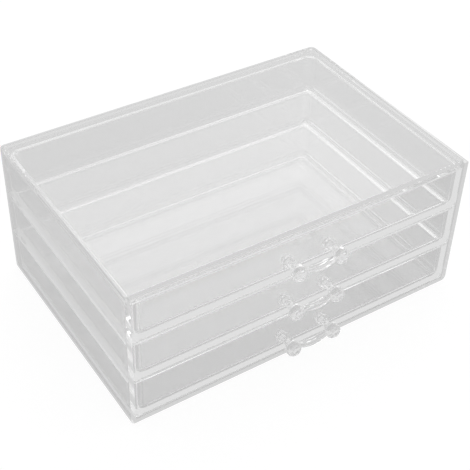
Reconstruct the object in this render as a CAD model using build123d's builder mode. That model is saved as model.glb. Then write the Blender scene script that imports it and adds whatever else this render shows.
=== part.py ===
from build123d import *
import os

# Clear moulded jewellery box with three sliding drawers, each with a crystal-style pull.
# The origin is the middle of the underside, +X is to the right seen from the front,
# the drawers open towards -Y and +Z is up. All sizes are in millimetres.

# Case: outer size, walls, and the top let into a rebate with its front edge set back
case_width = 236.0
case_depth = 160.0
case_height = 96.0
wall_thickness = 3.0
base_thickness = 3.0
top_thickness = 3.0
top_setback = 2.6
rebate_width = 1.4
bond_gap = 0.05
case_corner_radius = 3.6
case_bottom_radius = 3.0
bay_corner_radius = 1.6
bay_floor_radius = 1.2
edge_break = 0.4

# Ledges inside the side walls, which carry the two upper drawers
ledge_reach = 4.4
ledge_root_thickness = 1.6
ledge_tip_thickness = 1.0

# Drawers: running gaps, walls and roundings of the trays
drawer_names = ("bottom", "middle", "top")
side_gap = 0.5
running_gap = 0.3
rim_gap = 0.4
back_gap = 1.2
drawer_wall = 2.2
drawer_front = 2.6
drawer_floor = 2.2
drawer_back_radius = 7.0
drawer_bottom_radius = 2.8
plate_corner_radius = 1.4
plate_edge_break = 0.6
tray_corner_radius = 5.6
tray_floor_radius = 5.0

# Pulls: pegs, posts and knobs cut with flats like crystal, with a half-moon bail between
crystal_sides = 10
pull_height = 12.8
post_spacing = 29.0
peg_radius = 1.6
peg_gap = 0.1
seat_gap = 0.05
rosette_radius = 3.8
rosette_thickness = 1.0
flare_size = 1.2
post_radius = 2.2
knob_radius = 4.8
knob_length = 8.6
knob_reach = 11.2
knob_crown = 2.2
knob_table_bevel = 0.9
bail_rise = 1.8
bail_span = 24.0
bail_middle_height = 6.0
bail_end_height = 1.8
bail_thickness = 3.2
bail_bevel = 0.8
bail_station_shares = (-1, -0.8, -0.55, -0.3, 0, 0.3, 0.55, 0.8, 1)

# Push caps on the pegs, inside the drawers, cut with flats and a bevelled crown
cap_radius = 3.2
cap_thickness = 3.0
cap_bevel = 1.3
cap_bore_depth = 2.4
cap_fit = 0.04
peg_end_gap = 0.2

# Sizes that follow from the ones above
front_y = -case_depth / 2
bay_width = case_width - 2 * wall_thickness
bay_back_y = case_depth / 2 - wall_thickness
bay_height = case_height - base_thickness - top_thickness
drawer_pitch = bay_height / len(drawer_names)
drawer_width = bay_width - 2 * side_gap
drawer_depth = bay_back_y - back_gap - front_y
front_height = drawer_pitch - 2 * running_gap
side_height = drawer_pitch - running_gap - ledge_root_thickness - rim_gap
ledge_front_y = front_y + drawer_front + rim_gap
inner_y = front_y + drawer_front
knob_y = front_y - knob_reach
post_spots = ((-post_spacing / 2, 0), (post_spacing / 2, 0))
peg_length = seat_gap + drawer_front + seat_gap + cap_bore_depth - peg_end_gap
seat_y = front_y - seat_gap


def bay_level(index):
    """Height of the surface that carries a drawer: the base, then each pair of ledges."""
    return base_thickness + index * drawer_pitch


def upright_plane(y, z, facing):
    """Plane across the posts at a depth y, with x to the right: facing -1 looks out, 1 looks in."""
    return Plane(origin=(0, y, z), x_dir=(1, 0, 0), z_dir=(0, facing, 0))


def bail_drop(share):
    """Height of the bail at a share of its half span: full in the middle, slim at the knobs."""
    return bail_end_height + (bail_middle_height - bail_end_height) * (1 - share**2)


os.makedirs("parts", exist_ok=True)

# Case shell: one moulding with base, sides, back and ledges, open to the front and at the top
with BuildPart() as case_shell:
    with BuildSketch(Plane.XY) as footprint:
        Rectangle(case_width, case_depth)
        fillet(footprint.vertices().group_by(Axis.Y)[-1], radius=case_corner_radius)
    extrude(amount=case_height)
    underside = case_shell.faces().sort_by(Axis.Z)[0]
    fillet(underside.edges().sort_by(Axis.Y)[1:], radius=case_bottom_radius)
    with BuildSketch(Plane.XY.offset(base_thickness)) as bay:
        with Locations((0, bay_back_y)):
            Rectangle(bay_width, case_depth, align=(Align.CENTER, Align.MAX))
        fillet(bay.vertices().group_by(Axis.Y)[-1], radius=bay_corner_radius)
    extrude(amount=case_height, mode=Mode.SUBTRACT)
    bay_floor_edges = case_shell.edges().filter_by_position(Axis.Z, base_thickness, base_thickness)
    fillet(bay_floor_edges.sort_by(Axis.Y)[1:], radius=bay_floor_radius)
    with BuildSketch(Plane.XY.offset(case_height - top_thickness)) as rebate:
        with Locations((0, bay_back_y + rebate_width)):
            Rectangle(bay_width + 2 * rebate_width, case_depth, align=(Align.CENTER, Align.MAX))
        fillet(rebate.vertices().group_by(Axis.Y)[-1], radius=bay_corner_radius)
        with Locations((0, front_y + top_setback)):
            Rectangle(case_width, case_depth, align=(Align.CENTER, Align.MAX), mode=Mode.SUBTRACT)
    extrude(amount=top_thickness, mode=Mode.SUBTRACT)
    with BuildSketch(Plane.XZ.offset(-ledge_front_y)) as ledges:
        for index in range(1, len(drawer_names)):
            seat = bay_level(index)
            for side in (-1, 1):
                root_x = side * (bay_width / 2 + rebate_width)
                tip_x = side * (bay_width / 2 - ledge_reach)
                with BuildLine():
                    Polyline(
                        (root_x, seat),
                        (tip_x, seat),
                        (tip_x, seat - ledge_tip_thickness),
                        (root_x, seat - ledge_root_thickness),
                        close=True,
                    )
                make_face()
    extrude(amount=ledge_front_y - bay_back_y - rebate_width)
case_shell.part.label = "case_shell"
export_step(case_shell.part, "parts/case_shell.step")

# Top panel: flat plate bonded into the rebate, its upper edges lightly broken
with BuildPart() as top_panel:
    with BuildSketch(Plane.XY.offset(case_height)) as plate:
        panel_back_y = bay_back_y + rebate_width - bond_gap
        with Locations((0, panel_back_y)):
            Rectangle(
                bay_width + 2 * (rebate_width - bond_gap),
                panel_back_y - front_y - top_setback - bond_gap,
                align=(Align.CENTER, Align.MAX),
            )
        fillet(plate.vertices().group_by(Axis.Y)[-1], radius=bay_corner_radius)
    extrude(amount=bond_gap - top_thickness)
    chamfer(top_panel.faces().sort_by(Axis.Z)[-1].edges(), length=edge_break)
top_panel.part.label = "top_panel"
export_step(top_panel.part, "parts/top_panel.step")

for index, name in enumerate(drawer_names):
    drawer_z = bay_level(index) + running_gap
    pull_z = drawer_z + pull_height

    # Drawer: moulded tray with rounded edges behind a full-height front plate with two peg holes
    with BuildPart() as drawer:
        with BuildSketch(Plane.XY.offset(drawer_z)) as outline:
            with Locations((0, inner_y)):
                Rectangle(drawer_width, drawer_depth - drawer_front, align=(Align.CENTER, Align.MIN))
            fillet(outline.vertices().group_by(Axis.Y)[-1], radius=drawer_back_radius)
        extrude(amount=side_height)
        underside = drawer.faces().sort_by(Axis.Z)[0]
        fillet(underside.edges().sort_by(Axis.Y)[1:], radius=drawer_bottom_radius)
        with BuildSketch(upright_plane(inner_y, drawer_z + front_height / 2, -1)) as front_plate:
            RectangleRounded(drawer_width, front_height, plate_corner_radius)
        extrude(amount=drawer_front)
        chamfer(drawer.faces().sort_by(Axis.Y)[0].edges(), length=plate_edge_break)
        with BuildSketch(Plane.XY.offset(drawer_z + drawer_floor)) as tray:
            with Locations((0, inner_y)):
                Rectangle(
                    drawer_width - 2 * drawer_wall,
                    drawer_depth - drawer_front - drawer_wall,
                    align=(Align.CENTER, Align.MIN),
                )
            fillet(tray.vertices(), radius=tray_corner_radius)
        extrude(amount=front_height, mode=Mode.SUBTRACT)
        tray_floor = drawer.faces().filter_by(Axis.Z).group_by(Axis.Z)[1].sort_by(SortBy.AREA)[-1]
        fillet(tray_floor.edges(), radius=tray_floor_radius)
        with BuildSketch(upright_plane(front_y, pull_z, 1)) as peg_holes:
            with Locations(*post_spots):
                Circle(peg_radius + peg_gap)
        extrude(amount=drawer_front, mode=Mode.SUBTRACT)
    drawer.part.label = f"drawer_{name}"
    export_step(drawer.part, f"parts/drawer_{name}.step")

    # Pull: bevelled half-moon bail, knobs cut like beads, posts flared onto rosettes, round pegs
    with BuildPart() as pull:
        with BuildSketch(upright_plane(knob_y, pull_z + bail_rise, -1)) as bail:
            with BuildLine():
                Polyline(
                    (-bail_span / 2, 0),
                    *((share * bail_span / 2, -bail_drop(share)) for share in bail_station_shares),
                    (bail_span / 2, 0),
                    close=True,
                )
            make_face()
        extrude(amount=bail_thickness / 2, both=True)
        layers = pull.faces().group_by(Axis.Y)
        chamfer(layers[0].edges() + layers[-1].edges(), length=bail_bevel)
        with BuildSketch(upright_plane(knob_y, pull_z, -1)) as knobs:
            with Locations(*post_spots):
                RegularPolygon(knob_radius, crystal_sides)
        extrude(amount=knob_length / 2, both=True)
        for bevel in (knob_crown, knob_table_bevel):
            layers = pull.faces().group_by(Axis.Y)
            chamfer(layers[0].edges() + layers[-1].edges(), length=bevel)
        with BuildSketch(upright_plane(seat_y, pull_z, -1)) as posts:
            with Locations(*post_spots):
                RegularPolygon(post_radius, crystal_sides)
        extrude(amount=knob_reach - seat_gap)
        with BuildSketch(upright_plane(seat_y, pull_z, -1)) as rosettes:
            with Locations(*post_spots):
                RegularPolygon(rosette_radius, crystal_sides)
        extrude(amount=rosette_thickness)
        rosette_y = seat_y - rosette_thickness
        rosette_edges = pull.edges().filter_by_position(Axis.Y, rosette_y, rosette_y)
        chamfer(rosette_edges.group_by(SortBy.LENGTH)[0], length=flare_size)
        with BuildSketch(upright_plane(seat_y, pull_z, 1)) as pegs:
            with Locations(*post_spots):
                Circle(peg_radius)
        extrude(amount=peg_length)
    pull.part.label = f"pull_{name}"
    export_step(pull.part, f"parts/pull_{name}.step")

    # Push caps: a pair of bevelled caps on the pegs, seated on the inside of the drawer front
    with BuildPart() as pull_caps:
        with BuildSketch(upright_plane(inner_y + seat_gap, pull_z, 1)) as caps:
            with Locations(*post_spots):
                RegularPolygon(cap_radius, crystal_sides)
        extrude(amount=cap_thickness)
        chamfer(pull_caps.faces().group_by(Axis.Y)[-1].edges(), length=cap_bevel)
        with BuildSketch(upright_plane(inner_y + seat_gap, pull_z, 1)) as bores:
            with Locations(*post_spots):
                Circle(peg_radius + cap_fit)
        extrude(amount=cap_bore_depth, mode=Mode.SUBTRACT)
    pull_caps.part.label = f"pull_caps_{name}"
    export_step(pull_caps.part, f"parts/pull_caps_{name}.step")
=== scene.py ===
import math
import bpy
from mathutils import Matrix, Vector

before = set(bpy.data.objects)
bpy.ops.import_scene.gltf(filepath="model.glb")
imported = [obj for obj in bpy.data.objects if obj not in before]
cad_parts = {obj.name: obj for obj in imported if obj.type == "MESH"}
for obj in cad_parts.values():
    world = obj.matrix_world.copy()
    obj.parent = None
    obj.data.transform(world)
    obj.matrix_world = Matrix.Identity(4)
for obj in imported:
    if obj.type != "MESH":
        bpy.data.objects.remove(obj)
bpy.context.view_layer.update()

scene = bpy.context.scene
scene.view_settings.view_transform = "Standard"


# Case shell: base, sides, back and drawer ledges in one piece, open at the front.
# It is moulded in clear acrylic, so its faces carry slow flow ripples. Where a path inside the
# plastic reaches the path limit, its faces get a painted soft grey glow in place of the light that
# runs along inside the thick walls and comes out at the rims.
white = (1.0, 1.0, 1.0, 1.0)
crystal_tint = (0.99, 0.99, 0.99, 1.0)
flow_detail = 1.0
flow_shade = 0.15
smear_scale = 60.0
smear_detail = 3.0
hairline_turn = (0.3, 0.2, 0.5)
hairline_stretch = (900.0, 30.0, 900.0)
hairline_start = 0.68
hairline_full = 0.76


def moulded_skin_group():
    """Marks of clear moulding: slow flow ripples, a breath of handling haze and fine hairlines."""
    group = bpy.data.node_groups.new("moulded_skin", "ShaderNodeTree")
    group.interface.new_socket(name="Tint", in_out="INPUT", socket_type="NodeSocketColor")
    for name in ("Flow Scale", "Haze", "Hairlines"):
        group.interface.new_socket(name=name, in_out="INPUT", socket_type="NodeSocketFloat")
    group.interface.new_socket(name="Color", in_out="OUTPUT", socket_type="NodeSocketColor")
    for name in ("Roughness", "Height"):
        group.interface.new_socket(name=name, in_out="OUTPUT", socket_type="NodeSocketFloat")
    nodes, links = group.nodes, group.links
    inputs = nodes.new("NodeGroupInput")
    outputs = nodes.new("NodeGroupOutput")
    place = nodes.new("ShaderNodeTexCoord")

    flow = nodes.new("ShaderNodeTexNoise")
    flow.inputs["Detail"].default_value = flow_detail
    links.new(place.outputs["Object"], flow.inputs["Vector"])
    links.new(inputs.outputs["Flow Scale"], flow.inputs["Scale"])
    links.new(flow.outputs["Fac"], outputs.inputs["Height"])

    faint = nodes.new("ShaderNodeMath")
    faint.operation = "MULTIPLY"
    faint.inputs[1].default_value = flow_shade
    links.new(flow.outputs["Fac"], faint.inputs[0])
    shade = nodes.new("ShaderNodeMix")
    shade.data_type = "RGBA"
    shade.inputs["B"].default_value = white
    links.new(faint.outputs["Value"], shade.inputs["Factor"])
    links.new(inputs.outputs["Tint"], shade.inputs["A"])
    links.new(shade.outputs["Result"], outputs.inputs["Color"])

    smear = nodes.new("ShaderNodeTexNoise")
    smear.inputs["Scale"].default_value = smear_scale
    smear.inputs["Detail"].default_value = smear_detail
    links.new(place.outputs["Object"], smear.inputs["Vector"])
    haze = nodes.new("ShaderNodeMath")
    haze.operation = "MULTIPLY"
    links.new(smear.outputs["Fac"], haze.inputs[0])
    links.new(inputs.outputs["Haze"], haze.inputs[1])

    stretch = nodes.new("ShaderNodeMapping")
    stretch.inputs["Rotation"].default_value = hairline_turn
    stretch.inputs["Scale"].default_value = hairline_stretch
    links.new(place.outputs["Object"], stretch.inputs["Vector"])
    scratch = nodes.new("ShaderNodeTexNoise")
    scratch.inputs["Scale"].default_value = 1.0
    links.new(stretch.outputs["Vector"], scratch.inputs["Vector"])
    hairline = nodes.new("ShaderNodeMapRange")
    hairline.inputs["From Min"].default_value = hairline_start
    hairline.inputs["From Max"].default_value = hairline_full
    links.new(scratch.outputs["Fac"], hairline.inputs["Value"])
    links.new(inputs.outputs["Hairlines"], hairline.inputs["To Max"])

    worn = nodes.new("ShaderNodeMath")
    worn.operation = "ADD"
    links.new(haze.outputs["Value"], worn.inputs[0])
    links.new(hairline.outputs["Result"], worn.inputs[1])
    links.new(worn.outputs["Value"], outputs.inputs["Roughness"])
    return group


moulded_skin = moulded_skin_group()
longest_path = 16


def clear_moulding(name, ior, flow_scale, ripple, haze, hairlines, painted_edge_glow):
    """Clear plastic with the moulded skin; where a path is still inside at the longest path, the
    surface emits a painted glow.
    """
    material = bpy.data.materials.new(name)
    material.use_nodes = True
    nodes, links = material.node_tree.nodes, material.node_tree.links
    shader = nodes["Principled BSDF"]
    shader.inputs["Transmission Weight"].default_value = 1.0
    shader.inputs["IOR"].default_value = ior
    shader.inputs["Emission Color"].default_value = white
    skin = nodes.new("ShaderNodeGroup")
    skin.node_tree = moulded_skin
    skin.inputs["Tint"].default_value = crystal_tint
    skin.inputs["Flow Scale"].default_value = flow_scale
    skin.inputs["Haze"].default_value = haze
    skin.inputs["Hairlines"].default_value = hairlines
    bump = nodes.new("ShaderNodeBump")
    bump.inputs["Distance"].default_value = ripple
    links.new(skin.outputs["Color"], shader.inputs["Base Color"])
    links.new(skin.outputs["Roughness"], shader.inputs["Roughness"])
    links.new(skin.outputs["Height"], bump.inputs["Height"])
    links.new(bump.outputs["Normal"], shader.inputs["Normal"])
    # Painted glow: a surface reached at the longest path emits soft grey light instead of going dark.
    path = nodes.new("ShaderNodeLightPath")
    path_limit_mask = nodes.new("ShaderNodeMath")
    path_limit_mask.operation = "GREATER_THAN"
    path_limit_mask.inputs[1].default_value = longest_path - 0.5
    links.new(path.outputs["Ray Depth"], path_limit_mask.inputs[0])
    painted_glow = nodes.new("ShaderNodeMath")
    painted_glow.operation = "MULTIPLY"
    painted_glow.inputs[1].default_value = painted_edge_glow
    links.new(path_limit_mask.outputs["Value"], painted_glow.inputs[0])
    links.new(painted_glow.outputs["Value"], shader.inputs["Emission Strength"])
    material.cycles.emission_sampling = "NONE"
    return material


def finish_node(name, material):
    """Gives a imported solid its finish."""
    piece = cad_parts[name]
    piece.data.materials.clear()
    piece.data.materials.append(material)


acrylic_ior = 1.49
case_clear = clear_moulding(
    "case_clear",
    acrylic_ior,
    flow_scale=14.0,
    ripple=0.00002,
    haze=0.01,
    hairlines=0.025,
    painted_edge_glow=0.33,
)
finish_node("case_shell", case_clear)

# Top panel: a flat plate of the same clear acrylic, bonded into the rebate of the case.
# Things are set down on it, so it has more hairlines than the rest and flatter flow.
top_clear = clear_moulding(
    "top_clear",
    acrylic_ior,
    flow_scale=10.0,
    ripple=0.00001,
    haze=0.01,
    hairlines=0.04,
    painted_edge_glow=0.33,
)
finish_node("top_panel", top_clear)

# Drawers: three moulded acrylic trays with rounded floors and a full-height front plate.
# They run on the base and the ledges, and their flow ripples are a little tighter.
drawer_levels = ("bottom", "middle", "top")
drawer_clear = clear_moulding(
    "drawer_clear",
    acrylic_ior,
    flow_scale=16.0,
    ripple=0.00002,
    haze=0.01,
    hairlines=0.025,
    painted_edge_glow=0.38,
)
for level in drawer_levels:
    finish_node(f"drawer_{level}", drawer_clear)

# Pulls: crystal-style knobs, posts and half-moon bail in one moulding, with flats all round.
# The clear plastic is denser than the box's, and the pegs pass through the drawer front.
crystal_ior = 1.55
pull_clear = clear_moulding(
    "pull_clear",
    crystal_ior,
    flow_scale=60.0,
    ripple=0.00001,
    haze=0.01,
    hairlines=0.02,
    painted_edge_glow=0.34,
)
for level in drawer_levels:
    finish_node(f"pull_{level}", pull_clear)

# Push caps: small bevelled caps of the same crystal plastic as the pulls.
# They are pressed onto the pegs inside the drawer and hold the pull against the front.
cap_clear = clear_moulding(
    "cap_clear",
    crystal_ior,
    flow_scale=80.0,
    ripple=0.00001,
    haze=0.02,
    hairlines=0.02,
    painted_edge_glow=0.34,
)
for level in drawer_levels:
    finish_node(f"pull_caps_{level}", cap_clear)


# Studio paper: a white sheet under the box, seen as pure white around it and as pale grey
# through the clear plastic. It still takes the light, so it keeps the box's soft shadow.
def background_share(nodes, links, seen, through):
    """Background glow: one level straight from the camera, one mirrored or through the plastic."""
    path = nodes.new("ShaderNodeLightPath")
    either = nodes.new("ShaderNodeMath")
    either.operation = "MAXIMUM"
    links.new(path.outputs["Is Glossy Ray"], either.inputs[0])
    links.new(path.outputs["Is Transmission Ray"], either.inputs[1])
    behind = nodes.new("ShaderNodeMath")
    behind.operation = "MULTIPLY"
    behind.inputs[1].default_value = through
    links.new(either.outputs["Value"], behind.inputs[0])
    total = nodes.new("ShaderNodeMath")
    total.operation = "MULTIPLY_ADD"
    total.inputs[1].default_value = seen
    links.new(path.outputs["Is Camera Ray"], total.inputs[0])
    links.new(behind.outputs["Value"], total.inputs[2])
    return total.outputs["Value"]


paper_reach = 6.0
paper_level = -0.0004
paper_roughness = 0.9
paper_grain_scale = 900.0
paper_dark = (0.115, 0.115, 0.115, 1.0)
paper_light = (0.125, 0.125, 0.125, 1.0)
paper_corner_sides = ((-1, -1), (1, -1), (1, 1), (-1, 1))
paper_mesh = bpy.data.meshes.new("paper")
paper_corners = [(x * paper_reach, y * paper_reach, 0.0) for x, y in paper_corner_sides]
paper_mesh.from_pydata(paper_corners, [], [(0, 1, 2, 3)])
paper = bpy.data.objects.new("paper", paper_mesh)
paper.location.z = paper_level
scene.collection.objects.link(paper)

paper_white = bpy.data.materials.new("paper_white")
paper_white.use_nodes = True
nodes, links = paper_white.node_tree.nodes, paper_white.node_tree.links
shader = nodes["Principled BSDF"]
shader.inputs["Roughness"].default_value = paper_roughness
shader.inputs["Specular IOR Level"].default_value = 0.0
shader.inputs["Emission Color"].default_value = white
place = nodes.new("ShaderNodeTexCoord")
grain = nodes.new("ShaderNodeTexNoise")
grain.inputs["Scale"].default_value = paper_grain_scale
links.new(place.outputs["Object"], grain.inputs["Vector"])
fibre = nodes.new("ShaderNodeMix")
fibre.data_type = "RGBA"
fibre.inputs["A"].default_value = paper_dark
fibre.inputs["B"].default_value = paper_light
links.new(grain.outputs["Fac"], fibre.inputs["Factor"])
links.new(fibre.outputs["Result"], shader.inputs["Base Color"])
paper_glow = background_share(nodes, links, seen=0.93, through=0.5)
links.new(paper_glow, shader.inputs["Emission Strength"])
paper_mesh.materials.append(paper_white)

# Studio room: even white surroundings, a large soft light behind the box that the flat faces
# mirror, and a smaller one in front for the sparkle on the pulls.
room_level = 0.6
world = bpy.data.worlds.new("studio")
scene.world = world
world.use_nodes = True
nodes, links = world.node_tree.nodes, world.node_tree.links
sky = nodes["Background"]
sky.inputs["Color"].default_value = white
brightness = nodes.new("ShaderNodeMath")
brightness.operation = "ADD"
brightness.inputs[1].default_value = room_level
links.new(background_share(nodes, links, seen=0.4, through=0.14), brightness.inputs[0])
links.new(brightness.outputs["Value"], sky.inputs["Strength"])


def soft_box(name, place, target, size, power):
    """A rectangular soft light that looks at a point."""
    lamp = bpy.data.lights.new(name, "AREA")
    lamp.shape = "RECTANGLE"
    lamp.size, lamp.size_y = size
    lamp.energy = power
    body = bpy.data.objects.new(name, lamp)
    body.location = place
    body.rotation_euler = (Vector(target) - Vector(place)).to_track_quat("-Z", "Y").to_euler()
    scene.collection.objects.link(body)


soft_box(
    "back_light",
    place=(0.52, 0.76, 0.85),
    target=(0.0, 0.0, 0.05),
    size=(1.6, 1.3),
    power=3.6,
)
soft_box(
    "front_light",
    place=(-0.02, -1.0, 0.85),
    target=(0.0, -0.09, 0.05),
    size=(0.4, 0.4),
    power=1.2,
)

# Camera: the photograph's high three-quarter view from the front left, slightly tilted.
# Light paths are as long as the plastic's painted edge glow expects.
azimuth = math.radians(-34.21)
elevation = math.radians(40.08)
roll = math.radians(1.90)
distance = 0.70186
aside = 0.00336
above = 0.02438
film_width = 36.0
focal_length = 80.95
nearest_seen = 0.01
back = Vector(
    (
        math.sin(azimuth) * math.cos(elevation),
        -math.cos(azimuth) * math.cos(elevation),
        math.sin(elevation),
    )
)
level_right = Vector((0.0, 0.0, 1.0)).cross(back).normalized()
level_up = back.cross(level_right)
right = math.cos(roll) * level_right + math.sin(roll) * level_up
up = math.cos(roll) * level_up - math.sin(roll) * level_right
lens = bpy.data.cameras.new("camera")
lens.sensor_width = film_width
lens.lens = focal_length
lens.clip_start = nearest_seen
camera = bpy.data.objects.new("camera", lens)
camera_axes = Matrix((right, up, back)).transposed().to_4x4()
camera_place = distance * back + aside * right + above * up
camera.matrix_world = Matrix.Translation(camera_place) @ camera_axes
scene.collection.objects.link(camera)
scene.camera = camera
scene.cycles.max_bounces = longest_path
scene.cycles.transmission_bounces = longest_path
scene.cycles.glossy_bounces = longest_path
